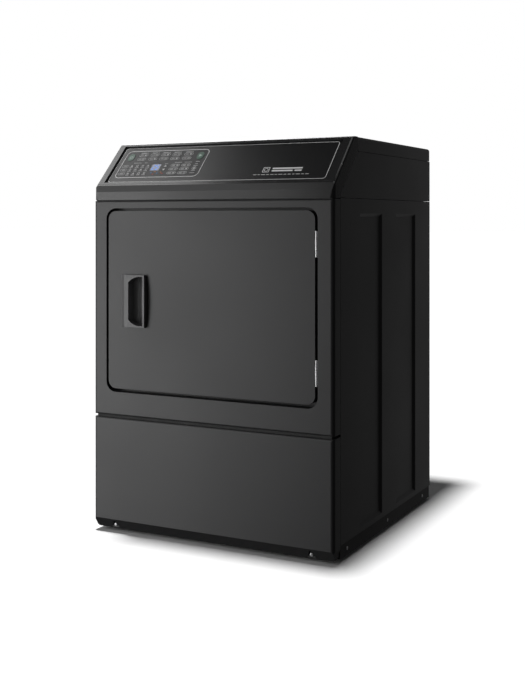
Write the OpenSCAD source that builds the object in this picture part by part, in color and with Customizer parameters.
/* [Cabinet] */
// Width across the side panels
body_w = 683; // [680:1:686]
// Depth from the front face to the rear edge of the side panels
body_d = 700; // [698:1:704]
// Height from the floor to the top of the lid
body_h = 1017; // [1014:1:1020]
// Gap under the base that the levelling feet take up
foot_gap = 8; // [7:1:10]
// Thickness of the sheet steel
sheet = 1.2; // [1:0.1:1.3]
// Radius of the upright front corners
corner_r = 9; // [6:1:10]
// How far the front panels wrap round the sides
wrap_d = 39.5; // [36:0.5:40]
// Radius of the rolled edges along the front seams
roll_r = 5; // [3:1:6]

/* [Door] */
// Width of the door opening in the front panel
door_opening_w = 603; // [600:1:605]
// Height of the door opening in the front panel
door_opening_h = 476; // [472:1:478]
// Gap at the sides and top of the door
door_gap = 7; // [6:0.5:7.5]
// Thickness of the door shell
door_t = 24; // [22:1:25]
// How far the grip stands out in its middle
handle_proud = 14; // [12:1:16]

/* [Drum] */
// Outside radius of the drum
drum_r = 318; // [314:1:319]
// Height of the drum axis above the floor
drum_z = 588; // [586:1:590]
// Number of lifters inside the drum
baffle_count = 3; // [3:1:4]
// Outside radius of the drum support rollers
roller_r = 32; // [28:1:34]

/* [Drive and air] */
// Radius of the motor pulley groove
pulley_r = 8.5; // [8:0.5:9]
// Outside radius of the exhaust outlet
exhaust_r = 50.4; // [50:0.1:50.6]
// How far the exhaust outlet stands out at the rear
exhaust_proud = 22; // [20:1:30]
// Number of blades on the blower wheel
blade_count = 20; // [16:1:24]

/* [Console] */
// How far the control panel lies below the console's end caps
panel_recess = 5; // [3:1:6]
// How far the power and start keys stand out of the panel
key_rise = 1; // [0.9:0.1:1.3]

/* [Hidden] */
$fn = 48;

// Y of the front face: the overall depth, from the grip to the exhaust outlet, is centred on the origin
front_y = handle_proud - (handle_proud + body_d + exhaust_proud) / 2;
half_w = body_w / 2;
seam = 0.5;

// Heights above the floor
base_top = foot_gap + 32;
toe_edge_z = foot_gap + 27;
access_top = 298.5;
front_low = 305.5;
front_top = 862;
hood_seam_z = 865;
lid_low = body_h - 35.5;

// Access panel toe: the lower edge curls back under the machine
toe_back = 20;
toe_r = 8;
toe_inset = 3.2;
toe_corner_r = 9;
pocket_half = 11;

// Door opening, door and the round-cornered throat behind it
open_x0 = -302.5;
open_x1 = open_x0 + door_opening_w;
open_z0 = 366.3;
open_z1 = open_z0 + door_opening_h;
open_r = 28;
recess_d = 30;
door_x0 = open_x0 + door_gap;
door_x1 = open_x1 - door_gap;
door_z0 = open_z0 + door_gap + 2.5;
door_z1 = open_z1 - door_gap;
door_r = 22;
throat_half = 225;
throat_z0 = 398;
throat_z1 = 806;
throat_r_top = 110;
throat_r_low = 60;
liner_back = door_t + 1.5;
plug_back = 46;

// Hinge axis, on the plane of the front face and in the middle of the door gap
hinge_x = open_x1 - door_gap / 2;
hinge_z = [755.5, 451];
hinge_len = 62;
knuckle_r = 2.6;
pin_r = 1.3;

// Grip: its left face slopes up from the door to a rim at the right, and both bow towards their middles
grip_x0 = -251;
grip_x1 = -177;
grip_z0 = 537;
grip_z1 = 671;
grip_crown = 4;
grip_bow = 3;
pocket_x0 = -227;
pocket_x1 = -183;
pocket_z0 = 541;
pocket_z1 = 667;
pocket_end_r = 46;
pocket_axis_x = -212;
pocket_axis_d = -8;
pocket_r = 26;

// Drum: it runs between the two bulkheads, on rollers at the rear and glides at the front
drum_d0 = 105;
drum_d1 = 632;
collar_r = 300;
collar_len = 22;
lip_r = 290;
front_wall_d = 93.8;
rear_wall_d = 645;
wall_low = 262;
wall_top = 900;
wall_half = 336;
roller_angle = 42;
roller_gap = 0.4;
roller_x = (drum_r + roller_r + roller_gap) * sin(roller_angle);
roller_z = drum_z - (drum_r + roller_r + roller_gap) * cos(roller_angle);
roller_d = 598;
roller_w = 22;
roller_shaft_r = 8;

// Motor, blower and belt
motor_x = 60;
motor_z = 150;
motor_d = 180;
shaft_r = 6;
bore_gap = 0.05;
blower_r = 84;
housing_r = 97;
housing_d = 96;
housing_len = 64;
housing_wall = 1.5;
belt_d = 350;
belt_w = 10;
belt_t = 2.2;
belt_gap = 0.4;
drum_belt_gap = 0.9;
idler_x = -32;
idler_z = 194;
idler_r = 25;
idler_pivot_x = -52;
idler_pivot_z = 80;
idler_stud_r = 5;
pivot_stud_r = 6;
arm_d = 366;
arm_t = 4;
tail_x = -10;
spring_low = 46;
spring_top = 72;

// Exhaust
exhaust_x = -150;
exhaust_z = 104;
exhaust_wall = 1;
pipe_r = exhaust_r + 0.8;
plenum_d1 = 162;

// Lint filter and its slot in the throat floor
slot_half = 128;
slot_d0 = 55;
slot_d1 = 81;
duct_d0 = 50;
duct_d1 = 93;
duct_half = 134;

// Console: a slope at 45 degrees whose outer surface passes through (slope_d, slope_z)
slope_d = 17.5;
slope_z = 911.9;
cap_band = 42.7;
console_back = 148;
console_round = 20;
console_wall = 2.5;
console_corner_r = 12;
cap_edge_r = 6.5;
panel_x0 = -321;
panel_x1 = 318;
panel_w = panel_x1 - panel_x0;
panel_s0 = -3;
panel_s1 = 139;
panel_t = 3;
panel_n = panel_recess;
window_x0 = -204.5;
window_x1 = -177.5;
window_s0 = 46;
window_s1 = 70;
keypad_x0 = -303.5;
keypad_x1 = -51;
keypad_s0 = 20;
keypad_s1 = 122.5;
key_s = 99;
power_key_x = -285;
start_key_x = -72;
key_half_w = 9.5;
key_half_h = 13.5;

// Colours
charcoal = [0.16, 0.16, 0.17];
dark_trim = [0.08, 0.08, 0.09];
galvanised = [0.66, 0.68, 0.7];
bright_metal = [0.75, 0.75, 0.76];
black_plastic = [0.1, 0.1, 0.11];

// ---- Placing helpers: x is the width, d the depth behind the front face, z the height ----
module box(x0, x1, d0, d1, z0, z1) {
    translate([x0, front_y + d0, z0]) cube([x1 - x0, d1 - d0, z1 - z0]);
}

// Extrudes an outline drawn in (x, z) back from depth d
module along_depth(d, len) {
    translate([0, front_y + d + len, 0]) rotate([90, 0, 0]) linear_extrude(len) children();
}

// Extrudes an outline drawn in (depth, z) across the width from x
module along_width(x, len) {
    translate([x, front_y, 0]) rotate([90, 0, 90]) linear_extrude(len) children();
}

module rod_back(x, z, r, d, len) {
    translate([x, front_y + d, z]) rotate([-90, 0, 0]) cylinder(r = r, h = len);
}

module rod_across(x, d, z, r, len) {
    translate([x, front_y + d, z]) rotate([0, 90, 0]) cylinder(r = r, h = len);
}

// Turns an outline of (radius, depth) about the line through (x, z) that runs front to back
module turned_back(x, z, d) {
    translate([x, front_y + d, z]) rotate([-90, 0, 0]) rotate_extrude($fn = 96) children();
}

module round_rect(x0, x1, z0, z1, r) {
    translate([x0 + r, z0]) square([x1 - x0 - 2 * r, z1 - z0]);
    translate([x0, z0 + r]) square([x1 - x0, z1 - z0 - 2 * r]);
    for (x = [x0 + r, x1 - r], z = [z0 + r, z1 - r]) translate([x, z]) circle(r);
}

// Local x runs across, y up the slope and z out of the console's sloping face
module on_slope() {
    translate([0, front_y + slope_d, slope_z]) rotate([45, 0, 0]) children();
}

function arc(cx, cy, r, a0, a1, n) =
    [for (i = [0:n]) [cx + r * cos(a0 + (a1 - a0) * i / n), cy + r * sin(a0 + (a1 - a0) * i / n)]];

// ---- Front panels: sheet that wraps round both front corners ----
module front_plan(inset, back, outer_r = corner_r) {
    x = half_w - outer_r;
    translate([-x, front_y + inset]) square([2 * x, back - inset]);
    translate([-half_w + inset, front_y + outer_r]) square([body_w - 2 * inset, back - outer_r]);
    for (side = [-1, 1]) translate([side * x, front_y + outer_r]) circle(outer_r - inset);
}

function roll_outline(z0, z1, i, back) = concat(
    [[back, z0 + i]],
    arc(roll_r, z0 + roll_r, roll_r - i, 270, 180, 5),
    arc(roll_r, z1 - roll_r, roll_r - i, 180, 90, 5),
    [[back, z1 - i]]);

function access_outline(i, back) = concat(
    [[back, foot_gap + i]],
    arc(toe_back, foot_gap + toe_r, toe_r - i, 270, 210, 4),
    [[i, toe_edge_z + i / 2]],
    arc(roll_r, access_top - roll_r, roll_r - i, 180, 90, 5),
    [[back, access_top - i]]);

module wrapped(inset, back) {
    intersection() {
        linear_extrude(body_h) front_plan(inset, back);
        along_width(-half_w, body_w) children();
    }
}

module throat_outline(grow) {
    x = throat_half + grow;
    z0 = throat_z0 - grow;
    z1 = throat_z1 + grow;
    top_r = throat_r_top + grow;
    low_r = throat_r_low + grow;
    translate([-x, z0 + low_r]) square([2 * x, z1 - z0 - low_r - top_r]);
    translate([-x + low_r, z0]) square([2 * (x - low_r), 2 * low_r]);
    translate([-x + top_r, z1 - 2 * top_r]) square([2 * (x - top_r), 2 * top_r]);
    for (side = [-1, 1]) {
        translate([side * (x - low_r), z0 + low_r]) circle(low_r);
        translate([side * (x - top_r), z1 - top_r]) circle(top_r, $fn = 96);
    }
}

module front_panel() {
    color(charcoal) difference() {
        union() {
            difference() {
                wrapped(0, wrap_d) polygon(roll_outline(front_low, front_top, 0, wrap_d));
                wrapped(sheet, wrap_d + 1) polygon(roll_outline(front_low, front_top, sheet, wrap_d + 1));
            }
            along_depth(sheet / 2, recess_d + sheet / 2)
                round_rect(open_x0 - sheet, open_x1 + sheet, open_z0 - sheet, open_z1 + sheet,
                           open_r + sheet);
        }
        along_depth(-1, recess_d + 1) round_rect(open_x0, open_x1, open_z0, open_z1, open_r);
        along_depth(recess_d - 1, 4) throat_outline(0);
        box(latch_x - 9, latch_x + 9, recess_d - 1, recess_d + 4, latch_z - 15, latch_z + 15);
        rod_back(switch_x, switch_z, plunger_r + 0.4, recess_d - 1, 4);
    }
}

// Front view of the access panel: the toe narrows below its edge line and ends in round corners
module toe_view(i) {
    r = toe_corner_r - i;
    x = half_w - toe_inset - toe_corner_r;
    z = foot_gap + toe_corner_r;
    along_depth(-1, wrap_d + 3)
        polygon(concat(arc(-x, z, r, 180, 270, 6), arc(x, z, r, 270, 360, 6),
                       [[half_w - toe_inset - i, toe_edge_z - 12], [half_w - i, toe_edge_z],
                        [half_w - i, access_top + 1], [i - half_w, access_top + 1],
                        [i - half_w, toe_edge_z], [toe_inset + i - half_w, toe_edge_z - 12]]));
}

module access_solid(i, back) {
    intersection() {
        wrapped(i, back) polygon(access_outline(i, back));
        toe_view(i);
    }
}

// Three-cornered pocket in the toe that a screw head sits in, drawn from depth d
module toe_pocket(x, d, len, grow) {
    along_depth(d, len)
        polygon([[x - pocket_half - grow, foot_gap + 4 - grow],
                 [x + pocket_half + grow, foot_gap + 4 - grow],
                 [x + 2 + grow / 2, toe_edge_z - 4 + grow], [x - 2 - grow / 2, toe_edge_z - 4 + grow]]);
}

module access_panel() {
    color(charcoal) difference() {
        union() {
            difference() {
                access_solid(0, wrap_d);
                access_solid(sheet, wrap_d + 1);
            }
            intersection() {
                access_solid(0, wrap_d);
                for (x = toe_screw_x) toe_pocket(x, 0, 15, sheet);
            }
        }
        for (x = toe_screw_x) {
            toe_pocket(x, -5, 18.5, 0);
            rod_back(x, toe_screw_z, screw_shank_r + bore_gap, 5, 20);
        }
    }
}

// ---- Side panels: flanged sheet with two pressed-in recesses ----
side_low = base_top + seam;
side_top = hood_seam_z - seam;
recesses = [[162, 314], [418, 573]];
pressing_z0 = 53;
pressing_z1 = 828.5;
pressing_depth = 5;
pressing_slope = 1.6;
flange_w = 18;

// A shallow block with four sloping walls: the mouth is at x = half_w and the floor is deep below it
module pressing(d0, d1, deep, grow) {
    m = grow + pressing_slope;
    f = grow - deep * pressing_slope;
    y0 = front_y + d0;
    y1 = front_y + d1;
    intersection() {
        translate([0, 0, pressing_z0 - 30]) linear_extrude(pressing_z1 - pressing_z0 + 60)
            polygon([[half_w + 1, y0 - m], [half_w + 1, y1 + m],
                     [half_w - deep, y1 + f], [half_w - deep, y0 - f]]);
        translate([0, y1 + 30, 0]) rotate([90, 0, 0]) linear_extrude(d1 - d0 + 60)
            polygon([[half_w + 1, pressing_z0 - m], [half_w + 1, pressing_z1 + m],
                     [half_w - deep, pressing_z1 + f], [half_w - deep, pressing_z0 - f]]);
    }
}

module side_panel() {
    color(charcoal) difference() {
        union() {
            box(half_w - sheet, half_w, wrap_d + 1, body_d, side_low, side_top);
            box(half_w - flange_w, half_w, wrap_d + 1, wrap_d + 1 + sheet, side_low, side_top);
            box(half_w - flange_w, half_w, body_d - sheet, body_d, side_low, side_top);
            intersection() {
                for (r = recesses) pressing(r[0], r[1], pressing_depth + sheet, sheet * 1.7);
                box(half_w - 20, half_w, 0, body_d, side_low, side_top);
            }
        }
        for (r = recesses) pressing(r[0], r[1], pressing_depth, 0);
        for (z = rear_screw_z)
            rod_back(half_w - rear_screw_inset, z, screw_shank_r + bore_gap, body_d - 5, 10);
    }
}

module side_panel_right() {
    side_panel();
}

module side_panel_left() {
    mirror([1, 0, 0]) side_panel();
}

// ---- Rear panel and base ----
cord_hole_x = 262;
cord_hole_z = 96;
cord_hole_r = 11.1;
cover_z0 = 140;
cover_z1 = 240;
cover_x0 = 215;
cover_x1 = 309;
louvre_count = 7;
louvre_pitch = 34;
louvre_z = 560;
louvre_w = 72;
louvre_x = [-245, -145, 60, 160];
rear_panel_d = body_d - sheet - 1.4;

module rear_panel() {
    color(galvanised) difference() {
        box(-half_w + sheet + seam, half_w - sheet - seam, rear_panel_d, rear_panel_d + sheet,
            base_top + seam, hood_seam_z - seam);
        rod_back(exhaust_x, exhaust_z, pipe_r + 1.2, rear_panel_d - 1, 5);
        rod_back(cord_hole_x, cord_hole_z, cord_hole_r, rear_panel_d - 1, 5);
        box(cover_x0 + 12, cover_x1 - 12, rear_panel_d - 1, rear_panel_d + 5, cover_z0 + 12, cover_z1 - 12);
        for (i = [0:louvre_count - 1], x = louvre_x)
            box(x, x + louvre_w, rear_panel_d - 1, rear_panel_d + 5, louvre_z + i * louvre_pitch,
                louvre_z + 7 + i * louvre_pitch);
        for (side = [-1, 1], z = rear_screw_z)
            rod_back(side * (half_w - rear_screw_inset), z, screw_shank_r + bore_gap, rear_panel_d - 1, 5);
    }
}

base_half = half_w - 1.5;
base_wall = 1.5;
base_d0 = wrap_d + 1.5;
base_d1 = body_d - 4;
leg_x = half_w - 36;
leg_front_d = 66;
leg_rear_d = 664;
leg_stem_r = 5;
nut_z = foot_gap + 3;
nut_t = 6;

module base_pan() {
    color(dark_trim) difference() {
        union() {
            difference() {
                box(-base_half, base_half, base_d0, base_d1, foot_gap, base_top);
                box(-base_half + base_wall, base_half - base_wall, base_d0 + base_wall, base_d1 - base_wall,
                    foot_gap - 1, base_top - base_wall);
            }
            for (x = [-leg_x, leg_x], d = [leg_front_d, leg_rear_d])
                box(x - 32, x + 32, d - 22, d + 22, nut_z, nut_z + nut_t);
        }
        for (x = [-leg_x, leg_x], d = [leg_front_d, leg_rear_d])
            translate([x, front_y + d, 0]) cylinder(r = leg_stem_r + bore_gap, h = 39);
        for (x = [-base_half - 1, base_half - 4], d = side_screw_d)
            rod_across(x, d, side_screw_z, screw_shank_r + bore_gap, 5);
        for (x = toe_screw_x) rod_back(x, toe_screw_z, screw_shank_r + bore_gap, base_d0 - 1, 5);
    }
}

// A levelling leg: round foot, hexagon and threaded stem
module levelling_leg(x, d) {
    color(dark_trim) translate([x, front_y + d, 0]) {
        cylinder(r1 = 15, r2 = 16, h = 2);
        translate([0, 0, 2]) cylinder(r = 16, h = 3);
        translate([0, 0, 5]) cylinder(r = 9, h = foot_gap - 4, $fn = 6);
        translate([0, 0, 5]) cylinder(r = leg_stem_r, h = base_top - base_wall - 7);
    }
}

module leg_front_left() {
    levelling_leg(-leg_x, leg_front_d);
}

module leg_front_right() {
    levelling_leg(leg_x, leg_front_d);
}

module leg_rear_left() {
    levelling_leg(-leg_x, leg_rear_d);
}

module leg_rear_right() {
    levelling_leg(leg_x, leg_rear_d);
}

// ---- Screws ----
screw_head_r = 4.5;
screw_shank_r = 2;
toe_screw_x = [-281, 279];
toe_screw_z = 19;
side_screw_d = [83, 357, 636];
side_screw_z = 24;
rear_screw_z = [90, 350, 600, 830];
rear_screw_inset = 9;

module cabinet_screws() {
    color(bright_metal) {
        for (x = toe_screw_x) {
            rod_back(x, toe_screw_z, screw_head_r, 10.5, 3);
            rod_back(x, toe_screw_z, screw_shank_r, 12, 34);
        }
        for (side = [-1, 1], d = side_screw_d) {
            rod_across(side > 0 ? base_half : -half_w + 0.1, d, side_screw_z, screw_head_r, 1.4);
            rod_across(side > 0 ? base_half - 9 : -base_half - 1, d, side_screw_z, screw_shank_r, 10);
        }
        for (side = [-1, 1], z = rear_screw_z) {
            rod_back(side * (half_w - rear_screw_inset), z, screw_head_r, body_d, 2.5);
            rod_back(side * (half_w - rear_screw_inset), z, screw_shank_r, body_d - 9, 10);
        }
    }
}

// ---- Hood and lid ----
hood_slant = slope_z - slope_d - cap_band * sqrt(2) - seam * 1.5;

module hood_side_outline() {
    d0 = wrap_d + 1;
    d1 = console_back + seam;
    polygon([[d0, hood_seam_z + seam], [body_d, hood_seam_z + seam], [body_d, lid_low - seam * 2],
             [d1, lid_low - seam * 2], [d1, d1 + hood_slant], [d0, d0 + hood_slant]]);
}

module hood_shell() {
    color(charcoal) {
        for (x = [-half_w, half_w - sheet]) along_width(x, sheet) hood_side_outline();
        box(-half_w, half_w, body_d - sheet, body_d, hood_seam_z + seam, lid_low - seam * 2);
        for (x = [-half_w, half_w - 16])
            box(x, x + 16, console_back + seam, body_d, lid_low - seam * 2 - sheet, lid_low - seam * 2);
    }
}

lid_wall = 1.5;
lid_d0 = console_back + seam;
lid_d1 = body_d - 3.5;
lid_corner_r = 6;
lid_rear_r = 9;

module lid_solid(i) {
    r = lid_corner_r - i;
    side_x = half_w - lid_corner_r;
    intersection() {
        along_width(-half_w + i, body_w - 2 * i)
            polygon(concat([[lid_d0 + i, lid_low - i], [lid_d1 - i, lid_low - i]],
                           arc(lid_d1 - lid_rear_r, body_h - lid_rear_r, lid_rear_r - i, 0, 90, 6),
                           [[lid_d0 + i, body_h - i]]));
        along_depth(lid_d0 - 1, lid_d1 - lid_d0 + 2)
            polygon(concat([[-half_w + i, lid_low - i], [half_w - i, lid_low - i]],
                           arc(side_x, body_h - lid_corner_r, r, 0, 90, 5),
                           arc(-side_x, body_h - lid_corner_r, r, 90, 180, 5)));
    }
}

module top_lid() {
    color(charcoal) difference() {
        lid_solid(0);
        lid_solid(lid_wall);
    }
}

// ---- Console ----
module console_outline(i) {
    top_d = slope_d + body_h - slope_z;
    start = console_round * tan(22.5);
    back_cut = slope_z - slope_d - cap_band * sqrt(2);
    polygon(concat(
        [[i, hood_seam_z - 1 + i], [2 + i, hood_seam_z + 20], [8 + i, hood_seam_z + 40],
         [11 + i, hood_seam_z + 43.5 - i / 2]],
        arc(top_d + start, body_h - console_round, console_round - i, 135, 90, 6),
        [[console_back - i, body_h - i], [console_back - i, console_back - i + back_cut],
         [wrap_d, wrap_d + back_cut], [wrap_d, hood_seam_z - 1 + i]]));
}

// Rounds the outer edges of the two end caps along the slope
module slope_edges() {
    low = -300;
    on_slope() translate([0, 400, 0]) rotate([90, 0, 0]) linear_extrude(800)
        polygon(concat([[-half_w, low], [half_w, low]],
                       arc(half_w - cap_edge_r, -cap_edge_r, cap_edge_r, 0, 90, 6),
                       arc(cap_edge_r - half_w, -cap_edge_r, cap_edge_r, 90, 180, 6)));
}

module console_frame() {
    color(charcoal) difference() {
        intersection() {
            along_width(-half_w, body_w) console_outline(0);
            linear_extrude(body_h) front_plan(0, body_d, console_corner_r);
            slope_edges();
        }
        difference() {
            intersection() {
                along_width(-half_w + console_wall, body_w - 2 * console_wall) union() {
                    console_outline(console_wall);
                    polygon([[20, hood_seam_z + 2], [wrap_d + 10, hood_seam_z + 2],
                             [console_back - 5, body_h - 60], [console_back - 5, body_h - 5]]);
                }
                linear_extrude(body_h) front_plan(console_wall, body_d, console_corner_r);
            }
            on_slope() translate([panel_x0 - 4, panel_s0 - 4, -panel_n - panel_t - console_wall])
                cube([panel_w + 8, panel_s1 - panel_s0 + 8, 40]);
        }
        on_slope() translate([panel_x0, panel_s0, -panel_n - panel_t])
            cube([panel_w, panel_s1 - panel_s0, 40]);
        on_slope() translate([keypad_x0, keypad_s0 - 5, -40])
            cube([keypad_x1 - keypad_x0, keypad_s1 - keypad_s0 + 8, 40]);
    }
}

// Outline of a raised key, and of its hole when grown
module key_outline(x, grow) {
    w = key_half_w + grow;
    translate([x, key_s - (key_half_h - key_half_w)]) circle(w);
    translate([x, key_s + (key_half_h - key_half_w)]) circle(w);
    translate([x - w, key_s - (key_half_h - key_half_w)]) square([2 * w, 2 * (key_half_h - key_half_w)]);
}

module panel_holes(grow) {
    key_outline(power_key_x, grow);
    key_outline(start_key_x, grow);
    translate([window_x0 - grow, window_s0 - grow])
        square([window_x1 - window_x0 + 2 * grow, window_s1 - window_s0 + 2 * grow]);
}

module console_panel() {
    color(black_plastic) on_slope() translate([0, 0, -panel_n - panel_t])
        linear_extrude(panel_t) difference() {
            translate([panel_x0 + 0.3, panel_s0 + 0.3]) square([panel_w - 0.6, panel_s1 - panel_s0 - 0.6]);
            panel_holes(0.3);
        }
}

film_t = 0.3;
pad_rise = 0.4;
cycle_pad_x = [-249.5, -214, -180, -144, -108.5];
setting_pad_x = [-266, -249.5, -233, -216.5];
option_pad_x = [-130.5, -99];

module pad(x, s, w, h) {
    translate([x - w / 2, s - h / 2, -panel_n + film_t]) cube([w, h, pad_rise]);
}

module keypad_film() {
    color([0.2, 0.2, 0.21]) on_slope() {
        translate([0, 0, -panel_n]) linear_extrude(film_t) difference() {
            round_rect(keypad_x0, keypad_x1, keypad_s0, keypad_s1, 13);
            panel_holes(1.2);
        }
        for (x = cycle_pad_x) pad(x, 100, 24, 9);
        for (x = setting_pad_x, s = [63, 49, 34]) pad(x, s, 12, 8);
        for (s = [63, 49, 34]) pad(-287, s, 16, 8);
        for (x = option_pad_x, s = [63, 49, 34]) pad(x, s, 22, 8);
        for (s = [63, 49]) pad(-162, s, 10, 9);
        for (s = [56, 36]) pad(-71, s, 14, 12);
    }
}

module display_window() {
    color([0.05, 0.1, 0.2]) on_slope() translate([window_x0, window_s0, -panel_n - 2.6])
        cube([window_x1 - window_x0, window_s1 - window_s0, 2.6]);
}

module raised_key(x) {
    on_slope() translate([0, 0, -panel_n - 4.5]) linear_extrude(4.5 + key_rise) key_outline(x, 0);
}

module power_key() {
    color([0.25, 0.45, 0.35]) raised_key(power_key_x);
}

module start_key() {
    color([0.25, 0.45, 0.35]) raised_key(start_key_x);
}

module control_board() {
    color([0.1, 0.3, 0.2]) on_slope() {
        translate([-298, 26, -15.6]) cube([240, 92, 1.6]);
        translate([window_x0 + 1, window_s0 + 1, -14])
            cube([window_x1 - window_x0 - 2, window_s1 - window_s0 - 2, 5]);
        for (x = [power_key_x + 1, start_key_x - 3])
            translate([x - 5, key_s - 5, -14]) cube([10, 10, 3.4]);
        translate([-160, 40, -32]) cube([38, 45, 16.4]);
        translate([-250, 84, -27]) cube([70, 20, 11.4]);
        for (x = [-280, -225, -100]) translate([x, 34, -24]) cube([26, 10, 8.4]);
    }
}

// ---- Bulkheads ----
module lip(d, len) {
    turned_back(0, drum_z, d) translate([lip_r, 0]) square([sheet, len]);
}

module front_bulkhead() {
    color(galvanised) difference() {
        union() {
            box(-wall_half, wall_half, front_wall_d, front_wall_d + sheet, wall_low, wall_top);
            along_depth(recess_d + sheet + 0.2, front_wall_d - recess_d - sheet) throat_outline(sheet);
            along_depth(recess_d + sheet + 0.2, sheet) throat_outline(14);
            lip(front_wall_d + sheet / 2, 33);
        }
        along_depth(recess_d - 1, 80) throat_outline(0);
        box(-slot_half, slot_half, slot_d0, slot_d1, throat_z0 - 20, throat_z0 + 5);
        rod_back(0, drum_z + 248, 9.2, front_wall_d - 1, 4);
    }
}

hole_pitch_x = 32;
hole_pitch_z = 38;

module rear_bulkhead() {
    color(galvanised) difference() {
        union() {
            box(-wall_half, wall_half, rear_wall_d, rear_wall_d + sheet, wall_low, wall_top);
            for (x = [-wall_half, wall_half - sheet])
                box(x, x + sheet, rear_wall_d, rear_wall_d + 14, wall_low, wall_top);
            lip(rear_wall_d - 33, 33.5);
        }
        for (i = [0:4], k = [0:6])
            rod_back(76 + i * hole_pitch_x, 520 + k * hole_pitch_z, 8, rear_wall_d - 1, 4);
        for (side = [-1, 1])
            rod_back(side * roller_x, roller_z, roller_shaft_r + bore_gap, rear_wall_d - 1, 4);
    }
}

module seal_ring(d) {
    turned_back(0, drum_z, d)
        translate([lip_r + sheet + 0.1, 0]) square([collar_r - lip_r - sheet - 0.5, 10]);
}

module felt_seals() {
    color([0.55, 0.52, 0.48]) {
        seal_ring(drum_d0 + 2);
        seal_ring(drum_d1 - 12);
    }
}

glide_span = 26;

module drum_glides() {
    color([0.85, 0.83, 0.78])
        for (middle = [58, 122])
            translate([0, front_y + drum_d0 + 13.5, drum_z]) rotate([-90, 0, 0])
                rotate([0, 0, middle - glide_span / 2]) rotate_extrude(angle = glide_span, $fn = 96)
                    translate([lip_r + sheet + 0.1, 0]) square([collar_r - lip_r - sheet - 0.5, 8]);
}

module roller_shafts() {
    color(bright_metal) for (side = [-1, 1]) {
        rod_back(side * roller_x, roller_z, roller_shaft_r, roller_d - 6, rear_wall_d - roller_d + 12);
        rod_back(side * roller_x, roller_z, roller_shaft_r + 4, roller_d - 4, 2);
        rod_back(side * roller_x, roller_z, roller_shaft_r + 5, rear_wall_d - 6, 6);
    }
}

hub_r = 14;

module roller(side) {
    bore = roller_shaft_r + bore_gap;
    turned_back(side * roller_x, roller_z, roller_d)
        polygon([[bore, 0], [hub_r, 0], [hub_r, 6], [roller_r - 6, 6], [roller_r - 6, 1],
                 [roller_r - 1, 1], [roller_r, 2], [roller_r, roller_w - 2], [roller_r - 1, roller_w - 1],
                 [roller_r - 6, roller_w - 1], [roller_r - 6, roller_w - 6], [hub_r, roller_w - 6],
                 [hub_r, roller_w], [bore, roller_w]]);
}

module rear_roller_left() {
    color([0.2, 0.2, 0.2]) roller(-1);
}

module rear_roller_right() {
    color([0.2, 0.2, 0.2]) roller(1);
}

// ---- Drum ----
module drum_shell() {
    len = drum_d1 - drum_d0;
    color([0.8, 0.81, 0.82]) union() {
        turned_back(0, drum_z, drum_d0)
            polygon([[collar_r, collar_len], [collar_r, 0], [drum_r, 0], [drum_r, len], [collar_r, len],
                     [collar_r, len - collar_len], [collar_r + sheet, len - collar_len],
                     [collar_r + sheet, len - sheet], [drum_r - sheet, len - sheet], [drum_r - sheet, sheet],
                     [collar_r + sheet, sheet], [collar_r + sheet, collar_len]]);
        for (d = [120, 400])
            turned_back(0, drum_z, drum_d0 + d)
                polygon([[drum_r - 0.5, 0], [drum_r + 2, 3], [drum_r + 2, 9], [drum_r - 0.5, 12]]);
    }
}

baffle_h = 62;
baffle_wall = 3;

// Section of a lifter that stands on the drum wall, pointing at the axis
module baffle_section(i) {
    base = drum_r - sheet;
    intersection() {
        polygon([[-38 + i, base + 5], [-24 + i, base - baffle_h + 12 + i], [-12, base - baffle_h + i],
                 [12, base - baffle_h + i], [24 - i, base - baffle_h + 12 + i], [38 - i, base + 5]]);
        circle(base - 0.1 - i, $fn = 96);
    }
}

module drum_baffles() {
    color([0.8, 0.8, 0.8])
        translate([0, 0, drum_z]) for (k = [0:baffle_count - 1])
            rotate([0, k * 360 / baffle_count, 0]) difference() {
                along_depth(drum_d0 + 28, drum_d1 - drum_d0 - 56) baffle_section(0);
                along_depth(drum_d0 + 28 + baffle_wall, drum_d1 - drum_d0 - 56 - 2 * baffle_wall)
                    baffle_section(baffle_wall);
            }
}

module drum_lamp() {
    color([0.95, 0.93, 0.85]) {
        rod_back(0, drum_z + 248, 9, front_wall_d - 22, 22 + sheet);
        rod_back(0, drum_z + 248, 13, front_wall_d + sheet, 2);
        translate([0, front_y + front_wall_d + sheet + 2, drum_z + 248]) sphere(r = 9);
    }
}

// ---- Heater ----
heater_x0 = 52;
heater_x1 = 228;
heater_z0 = 470;
heater_z1 = 800;
heater_back = 692;
coil_r = 3;
coil_pitch = 34;
coil_rows = 8;

module heater_box() {
    color(galvanised) difference() {
        box(heater_x0, heater_x1, rear_wall_d + sheet + 0.1, heater_back, heater_z0, heater_z1);
        box(heater_x0 + sheet, heater_x1 - sheet, rear_wall_d, heater_back - sheet, heater_z0 + sheet,
            heater_z1 - sheet);
        for (i = [0:4]) box(heater_x0 + 20, heater_x1 - 20, heater_back - 5, heater_back + 5,
                            heater_z0 + 14 + i * 12, heater_z0 + 20 + i * 12);
    }
}

module heater_coil() {
    d = (rear_wall_d + heater_back) / 2;
    z_first = heater_z0 + 40;
    color([0.5, 0.48, 0.45]) {
        for (i = [0:coil_rows - 1]) rod_across(90, d, z_first + i * coil_pitch, coil_r, 100);
        for (i = [0:coil_rows - 2])
            translate([i % 2 == 0 ? 190 : 90, front_y + d, z_first + (i + 0.5) * coil_pitch])
                rotate([90, i % 2 == 0 ? 0 : 180, 0]) rotate([0, 0, -90])
                    rotate_extrude(angle = 180) translate([coil_pitch / 2, 0]) circle(coil_r);
    }
}

module thermostats() {
    color(black_plastic) for (z = [540, 700]) {
        rod_across(heater_x1, rear_wall_d + 24, z, 12, 9);
        rod_across(heater_x1 + 9, rear_wall_d + 24, z, 8, 7);
    }
}

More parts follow.
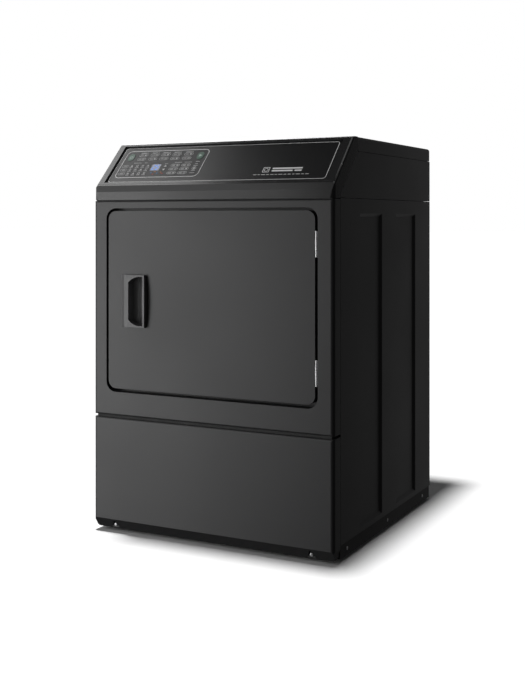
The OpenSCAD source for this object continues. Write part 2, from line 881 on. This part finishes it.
// ---- Air path ----
module duct_outline(i) {
    x = duct_half - i;
    polygon([[-x, throat_z0 - 1.4], [x, throat_z0 - 1.4], [x, 205], [118 - i, 130], [70, 89 + i],
             [30, 94 + i], [-x, 202 + i]]);
    translate([motor_x, motor_z]) circle(62 - i);
}

module lint_duct() {
    wall = 1.5;
    color(galvanised) difference() {
        union() {
            along_depth(duct_d0, duct_d1 - duct_d0) duct_outline(0);
            rod_back(motor_x, motor_z, 49.5, duct_d1 - 1, 3.8);
        }
        along_depth(duct_d0 + wall, duct_d1 - duct_d0 - 2 * wall) duct_outline(wall);
        box(-duct_half + wall, duct_half - wall, duct_d0 + wall, duct_d1 - wall, throat_z0 - 30, throat_z0);
        rod_back(motor_x, motor_z, 48, duct_d1 - 5, 10);
    }
}

filter_half = 125;
filter_d0 = 58;
filter_d1 = 78;
filter_low = 215;
window_cols = 5;
window_rows = 4;

module lint_filter() {
    cell_w = (2 * filter_half - 8) / window_cols;
    cell_h = (throat_z0 - filter_low - 12) / window_rows;
    color([0.75, 0.76, 0.78]) {
        difference() {
            box(-filter_half, filter_half, filter_d0, filter_d1, filter_low, throat_z0 + 1);
            box(-filter_half + 3, filter_half - 3, filter_d0 + 3, filter_d1 - 3,
                filter_low + 3, throat_z0 - 8);
            for (i = [0:window_cols - 1], k = [0:window_rows - 1])
                box(-filter_half + 6 + i * cell_w, -filter_half + 2 + (i + 1) * cell_w,
                    filter_d0 - 1, filter_d1 + 1,
                    filter_low + 6 + k * cell_h, filter_low + 2 + (k + 1) * cell_h);
        }
        box(-133, 133, 53, 83, throat_z0 + 0.3, throat_z0 + 3);
        box(-40, 40, 60, 63, throat_z0 + 2, throat_z0 + 18);
        rod_across(-40, 61.5, throat_z0 + 18, 3, 80);
    }
}

outlet_x = -93;
outlet_z0 = 58;
outlet_z1 = 122;

module housing_solid(i) {
    along_depth(housing_d + i, housing_len - 2 * i) union() {
        translate([motor_x, motor_z]) circle(housing_r - i, $fn = 96);
        translate([outlet_x, outlet_z0 + i]) square([motor_x - outlet_x, outlet_z1 - outlet_z0 - 2 * i]);
    }
}

module blower_housing() {
    color(galvanised) difference() {
        housing_solid(0);
        housing_solid(housing_wall);
        box(outlet_x - 5, outlet_x + 5, housing_d + housing_wall, housing_d + housing_len - housing_wall,
            outlet_z0 + housing_wall, outlet_z1 - housing_wall);
        rod_back(motor_x, motor_z, 50, housing_d - 1, 5);
        rod_back(motor_x, motor_z, 10, housing_d + housing_len - 5, 10);
    }
}

module exhaust_duct() {
    x0 = exhaust_x - exhaust_r - 3;
    x1 = outlet_x - 0.3;
    w = housing_wall;
    color(galvanised) difference() {
        union() {
            box(x0, x1, housing_d - 2, plenum_d1, exhaust_z - exhaust_r - 3, exhaust_z + exhaust_r + 3);
            rod_back(exhaust_x, exhaust_z, pipe_r, plenum_d1 - 1, body_d - plenum_d1 + 1);
            rod_back(exhaust_x, exhaust_z, exhaust_r, body_d - 1, exhaust_proud + 1);
        }
        box(x0 + w, x1 - w, housing_d - 2 + w, plenum_d1 - w, exhaust_z - exhaust_r - 3 + w,
            exhaust_z + exhaust_r + 3 - w);
        rod_back(exhaust_x, exhaust_z, exhaust_r - exhaust_wall, plenum_d1 - 4, body_d);
        box(x1 - 5, x1 + 5, housing_d + w, plenum_d1 - 2 - w, outlet_z0 + w, outlet_z1 - w);
    }
}

// ---- Motor, blower wheel and drive ----
module motor_body() {
    b = shaft_r + bore_gap;
    color([0.3, 0.31, 0.33]) turned_back(motor_x, motor_z, motor_d)
        polygon([[b, 0], [28, 0], [28, 8], [56, 10], [68, 22], [68, 128], [56, 140], [28, 142], [28, 150],
                 [b, 150], [b, 130], [42, 130], [42, 20], [b, 20]]);
}

module motor_shaft() {
    color(bright_metal) {
        rod_back(motor_x, motor_z, shaft_r, housing_d + 14, arm_d - housing_d - 14);
        rod_back(motor_x, motor_z, 40, motor_d + 25, 100);
    }
}

module motor_pulley() {
    b = shaft_r + 0.02;
    color(bright_metal) turned_back(motor_x, motor_z, belt_d - 3)
        polygon([[b, 0], [12.5, 0], [12.5, 1.6], [pulley_r, 2.4], [pulley_r, 13.6], [12.5, 14.4],
                 [12.5, 16], [b, 16]]);
}

module blower_wheel() {
    back = housing_d + 54;
    color([0.25, 0.25, 0.26]) {
        turned_back(motor_x, motor_z, back - 24)
            polygon([[shaft_r + 0.02, 0], [14, 0], [14, 22], [blower_r, 22], [blower_r, 24],
                     [shaft_r + 0.02, 24]]);
        turned_back(motor_x, motor_z, housing_d + 10) translate([blower_r - 14, 0]) square([14, 2]);
        for (k = [0:blade_count - 1])
            translate([motor_x, 0, motor_z]) rotate([0, k * 360 / blade_count, 0])
                box(blower_r - 13, blower_r - 1, housing_d + 11, back - 1, -1, 1);
    }
}

module motor_bracket() {
    z0 = base_top + 0.3;
    color([0.25, 0.26, 0.27]) {
        box(-78, 138, motor_d - 2, 386, z0, z0 + 3);
        for (d = [motor_d + 2, motor_d + 144]) difference() {
            box(motor_x - 36, motor_x + 36, d, d + 4, z0 + 2, motor_z);
            rod_back(motor_x, motor_z, 28.2, d - 1, 6);
        }
        box(idler_pivot_x - 16, idler_pivot_x + 16, 376, 380, z0 + 2, idler_pivot_z + 14);
        rod_back(idler_pivot_x, idler_pivot_z, pivot_stud_r, arm_d - 3, 382 - arm_d);
        box(tail_x - 8, tail_x + 8, arm_d - 6, arm_d + 10, z0 + 2, spring_low - 0.2);
    }
}

// Direction of the belt run from one wheel to the next; turn is 1 for a wheel inside the loop, -1 outside
function run_angle(a, b, ra, rb) =
    let (v = b - a) atan2(v[1], v[0]) - asin((rb - ra) / norm(v));

function belt_loop(o) =
    let (drum_c = [0, drum_z],
         idler_c = [idler_x, idler_z],
         motor_c = [motor_x, motor_z],
         rd = drum_r + drum_belt_gap + o,
         ri = idler_r + belt_gap + belt_t - o,
         rm = pulley_r + belt_gap + o,
         a1 = run_angle(drum_c, idler_c, rd, -ri),
         a2 = run_angle(idler_c, motor_c, -ri, rm),
         a3 = run_angle(motor_c, drum_c, rm, rd))
    concat(arc(0, drum_z, rd, a3 - 90, a1 + 270, 72),
           arc(idler_x, idler_z, ri, a1 + 90, a2 + 90, 4),
           arc(motor_x, motor_z, rm, a2 - 90, a3 - 90, 14));

module drive_belt() {
    color([0.08, 0.08, 0.08]) along_depth(belt_d, belt_w) difference() {
        polygon(belt_loop(belt_t));
        polygon(belt_loop(0));
    }
}

module idler_arm() {
    color(galvanised) difference() {
        union() {
            along_depth(arm_d, arm_t) union() {
                polygon([[idler_pivot_x - 12, idler_pivot_z], [idler_x - 9, idler_z],
                         [idler_x + 9, idler_z], [idler_pivot_x + 12, idler_pivot_z]]);
                translate([idler_pivot_x, idler_pivot_z]) circle(12);
                translate([idler_x, idler_z]) circle(9);
                translate([idler_pivot_x, idler_pivot_z - 7]) square([tail_x + 7 - idler_pivot_x, 12]);
            }
            rod_back(idler_x, idler_z, idler_stud_r, belt_d - 6, arm_d - belt_d + 8);
            rod_back(idler_x, idler_z, idler_stud_r + 3, belt_d - 6, 2);
        }
        rod_back(idler_pivot_x, idler_pivot_z, pivot_stud_r + bore_gap, arm_d - 2, 10);
    }
}

module idler_pulley() {
    b = idler_stud_r + bore_gap;
    color([0.15, 0.15, 0.16]) turned_back(idler_x, idler_z, belt_d - 3)
        polygon([[b, 0], [28, 0], [28, 1.6], [idler_r, 2.4], [idler_r, 13.6], [28, 14.4], [28, 16],
                 [b, 16]]);
}

// Close-wound tension spring, its turns drawn as touching rings
module idler_spring() {
    turns = 8;
    pitch = (spring_top - spring_low) / turns;
    color(bright_metal) translate([tail_x, front_y + arm_d + arm_t / 2, spring_low])
        rotate_extrude($fn = 32) union() {
            translate([4.2, pitch / 4]) square([1.2, spring_top - spring_low - pitch / 2]);
            for (i = [0:turns - 1]) translate([4.8, (i + 0.5) * pitch]) circle(pitch / 2 - 0.05, $fn = 16);
        }
}

// ---- Door ----
module door_shell() {
    color(charcoal) difference() {
        along_depth(0, door_t) round_rect(door_x0, door_x1, door_z0, door_z1, door_r);
        along_depth(sheet, door_t)
            round_rect(door_x0 + sheet, door_x1 - sheet, door_z0 + sheet, door_z1 - sheet, door_r - sheet);
        box(grip_x0 + 3.5, grip_x1 - 6.5, -1, 5, grip_z0 + 2.5, grip_z1 - 2.5);
    }
}

module door_liner() {
    wall = 1.5;
    color([0.82, 0.83, 0.84]) difference() {
        union() {
            along_depth(door_t + 0.1, wall - 0.1) round_rect(door_x0, door_x1, door_z0, door_z1, door_r);
            along_depth(door_t + 0.1, plug_back - door_t) throat_outline(-6);
        }
        along_depth(door_t - 1, plug_back - door_t - wall + 1) throat_outline(-6 - wall);
    }
}

module door_seal() {
    color([0.18, 0.18, 0.18]) along_depth(liner_back, recess_d - liner_back - 0.4) difference() {
        throat_outline(16);
        throat_outline(6);
    }
}

// Radius of a circle that bows by rise over a chord of length len
function bow_radius(len, rise) = (pow(len / 2, 2) + pow(rise, 2)) / (2 * rise);

module pocket_outline() {
    end_x = pocket_x1 - 10;
    shoulder = pocket_end_r - sqrt(pow(pocket_end_r, 2) - pow(end_x - pocket_x0, 2));
    intersection() {
        translate([pocket_x0, pocket_z0]) square([pocket_x1 - pocket_x0, pocket_z1 - pocket_z0]);
        union() {
            for (z = [pocket_z0 + pocket_end_r, pocket_z1 - pocket_end_r])
                translate([end_x, z]) circle(pocket_end_r);
            translate([pocket_x0 - 1, pocket_z0 + shoulder])
                square([pocket_x1 - pocket_x0 + 2, pocket_z1 - pocket_z0 - 2 * shoulder]);
            translate([end_x, pocket_z0]) square([pocket_x1 - end_x, pocket_z1 - pocket_z0]);
        }
    }
}

module door_handle() {
    mid_z = (grip_z0 + grip_z1) / 2;
    len = grip_z1 - grip_z0;
    crown_r = bow_radius(len, grip_crown);
    bow_r = bow_radius(len, grip_bow);
    p = handle_proud;
    color(black_plastic) difference() {
        union() {
            intersection() {
                translate([0, front_y, grip_z0]) linear_extrude(len)
                    polygon([[grip_x0, 0], [grip_x0, 10 - p], [grip_x0 + 10, 5 - p], [pocket_x0, 2.5 - p],
                             [pocket_x1 - 6, -p], [grip_x1, -p], [grip_x1, 0]]);
                along_depth(-p, p) round_rect(grip_x0, grip_x1 + 6, grip_z0, grip_z1, 3);
                rod_across(grip_x0 - 5, crown_r - p, mid_z, crown_r, 90, $fn = 360);
                rod_back(grip_x1 - bow_r, mid_z, bow_r, -p - 1, p + 2, $fn = 720);
            }
            box(grip_x0 + 4, grip_x1 - 7, -0.5, 20, grip_z0 + 3, grip_z1 - 3);
        }
        intersection() {
            along_depth(-20, 40) pocket_outline();
            union() {
                translate([pocket_axis_x, front_y + pocket_axis_d, grip_z0])
                    cylinder(r = pocket_r, h = len, $fn = 96);
                box(pocket_x0 - 1, pocket_x1 + 1, -20, pocket_axis_d, grip_z0, grip_z1);
            }
        }
    }
}

latch_z = 605;
latch_x = -272;

// Door switch: its plunger stands just clear of the shut door's liner
switch_x = -288;
switch_z = 700;
plunger_r = 3;
plunger_gap = 3.4;

module door_strike() {
    color(bright_metal) {
        box(latch_x - 8, latch_x + 8, liner_back, liner_back + 1.5, latch_z - 20, latch_z + 20);
        box(latch_x - 2, latch_x + 2, liner_back, 44, latch_z - 7, latch_z + 7);
        rod_across(latch_x - 2, 42, latch_z, 4, 4);
    }
}

module door_latch() {
    color(black_plastic) difference() {
        box(latch_x - 16, latch_x + 16, recess_d + sheet + 0.2, 54, latch_z - 20, latch_z + 20);
        box(latch_x - 6, latch_x + 5, recess_d, 50, latch_z - 11, latch_z + 11);
    }
}

module door_switch() {
    color(black_plastic) difference() {
        box(switch_x - 10, switch_x + 10, recess_d + sheet + 0.2, 58, switch_z - 12, switch_z + 12);
        rod_back(switch_x, switch_z, plunger_r + bore_gap, recess_d, 24);
    }
}

module switch_plunger() {
    color([0.85, 0.85, 0.85]) rod_back(switch_x, switch_z, plunger_r, liner_back + plunger_gap, 20);
}

module hinge_leaves() {
    color(bright_metal) for (z = hinge_z) difference() {
        union() {
            box(open_x1 - 1.3, open_x1 - 0.1, 0, 24, z - hinge_len / 2, z + hinge_len / 2);
            for (end = [-1, 1]) translate([0, 0, z + end * (hinge_len / 2 - 8)]) {
                translate([hinge_x, front_y, -8]) cylinder(r = knuckle_r, h = 16);
                box(hinge_x, open_x1 - 0.1, 0, 2, -8, 8);
            }
        }
        translate([hinge_x, front_y, z - hinge_len / 2 - 1]) cylinder(r = pin_r + 0.01, h = hinge_len + 2);
        translate([hinge_x, front_y, z - hinge_len / 2 + 16])
            cylinder(r = knuckle_r + 0.3, h = hinge_len - 32);
    }
}

module hinge_pins() {
    color([0.6, 0.6, 0.6]) for (z = hinge_z)
        translate([hinge_x, front_y, z - hinge_len / 2]) cylinder(r = pin_r, h = hinge_len);
}

module door_hinge_leaves() {
    mid = hinge_len - 33;
    color(bright_metal) for (z = hinge_z) difference() {
        union() {
            box(door_x1 + 0.05, door_x1 + 1.1, 3, 22, z - mid / 2, z + mid / 2);
            box(door_x1 + 0.05, hinge_x, 0, 3.2, z - mid / 2, z + mid / 2);
            translate([hinge_x, front_y, z - mid / 2]) cylinder(r = knuckle_r, h = mid);
        }
        translate([hinge_x, front_y, z - mid / 2 - 1]) cylinder(r = pin_r + bore_gap, h = mid + 2);
    }
}

// ---- Wiring ----
module terminal_block() {
    terminal_z = 181;
    color([0.15, 0.15, 0.16])
        box(cover_x0 + 14, cover_x1 - 14, rear_panel_d - 26, rear_panel_d - 0.2, terminal_z - 15,
            terminal_z + 15);
    color([0.8, 0.65, 0.3])
        for (i = [-1:1]) rod_back((cover_x0 + cover_x1) / 2 + i * 20, terminal_z, 3, rear_panel_d - 1, 8);
}

module terminal_cover() {
    color(galvanised) difference() {
        box(cover_x0, cover_x1, rear_panel_d + sheet + 0.1, body_d + 12, cover_z0, cover_z1);
        box(cover_x0 + sheet, cover_x1 - sheet, rear_panel_d, body_d + 12 - sheet, cover_z0 + sheet,
            cover_z1 - sheet);
    }
}

harness_r = 4;
bend_r = 16;

// A quarter bend in the plane of two axes, given by the turn that carries (x, y) to it
module bend(at, turn) {
    translate(at) rotate(turn) rotate_extrude(angle = 90) translate([bend_r, 0]) circle(harness_r, $fn = 24);
}

module wire_harness() {
    x = 322;
    d_back = 676;
    d_front = 80;
    z_run = 914;
    x_end = -60;
    color([0.6, 0.15, 0.12]) {
        translate([x, front_y + d_back, 210]) cylinder(r = harness_r, h = z_run - bend_r - 210, $fn = 24);
        rod_back(x, z_run, harness_r, d_front + bend_r, d_back - d_front - 2 * bend_r);
        rod_across(x_end + bend_r, d_front, z_run, harness_r, x - x_end - 2 * bend_r);
        bend([x, front_y + d_back - bend_r, z_run - bend_r], [90, 0, 90]);
        bend([x - bend_r, front_y + d_front + bend_r, z_run], [0, 0, -90]);
        translate([cover_x1 - 13, front_y + d_back, 210 - bend_r])
            rotate([0, 90, 0]) cylinder(r = harness_r, h = x - bend_r - cover_x1 + 13, $fn = 24);
        bend([x - bend_r, front_y + d_back, 210], [-90, 0, 0]);
    }
}

base_pan();
side_panel_left();
side_panel_right();
rear_panel();
front_panel();
access_panel();
console_frame();
console_panel();
keypad_film();
display_window();
control_board();
hood_shell();
top_lid();
front_bulkhead();
rear_bulkhead();
felt_seals();
drum_glides();
roller_shafts();
heater_box();
heater_coil();
thermostats();
lint_duct();
blower_housing();
exhaust_duct();
motor_body();
motor_bracket();
drive_belt();
idler_spring();
hinge_leaves();
hinge_pins();
door_latch();
door_switch();
drum_lamp();
terminal_block();
terminal_cover();
wire_harness();
cabinet_screws();
drum_shell();
drum_baffles();
motor_shaft();
motor_pulley();
blower_wheel();
idler_arm();
idler_pulley();
rear_roller_left();
rear_roller_right();
door_shell();
door_liner();
door_seal();
door_handle();
door_strike();
door_hinge_leaves();
lint_filter();
switch_plunger();
leg_front_left();
leg_front_right();
leg_rear_left();
leg_rear_right();
power_key();
start_key();
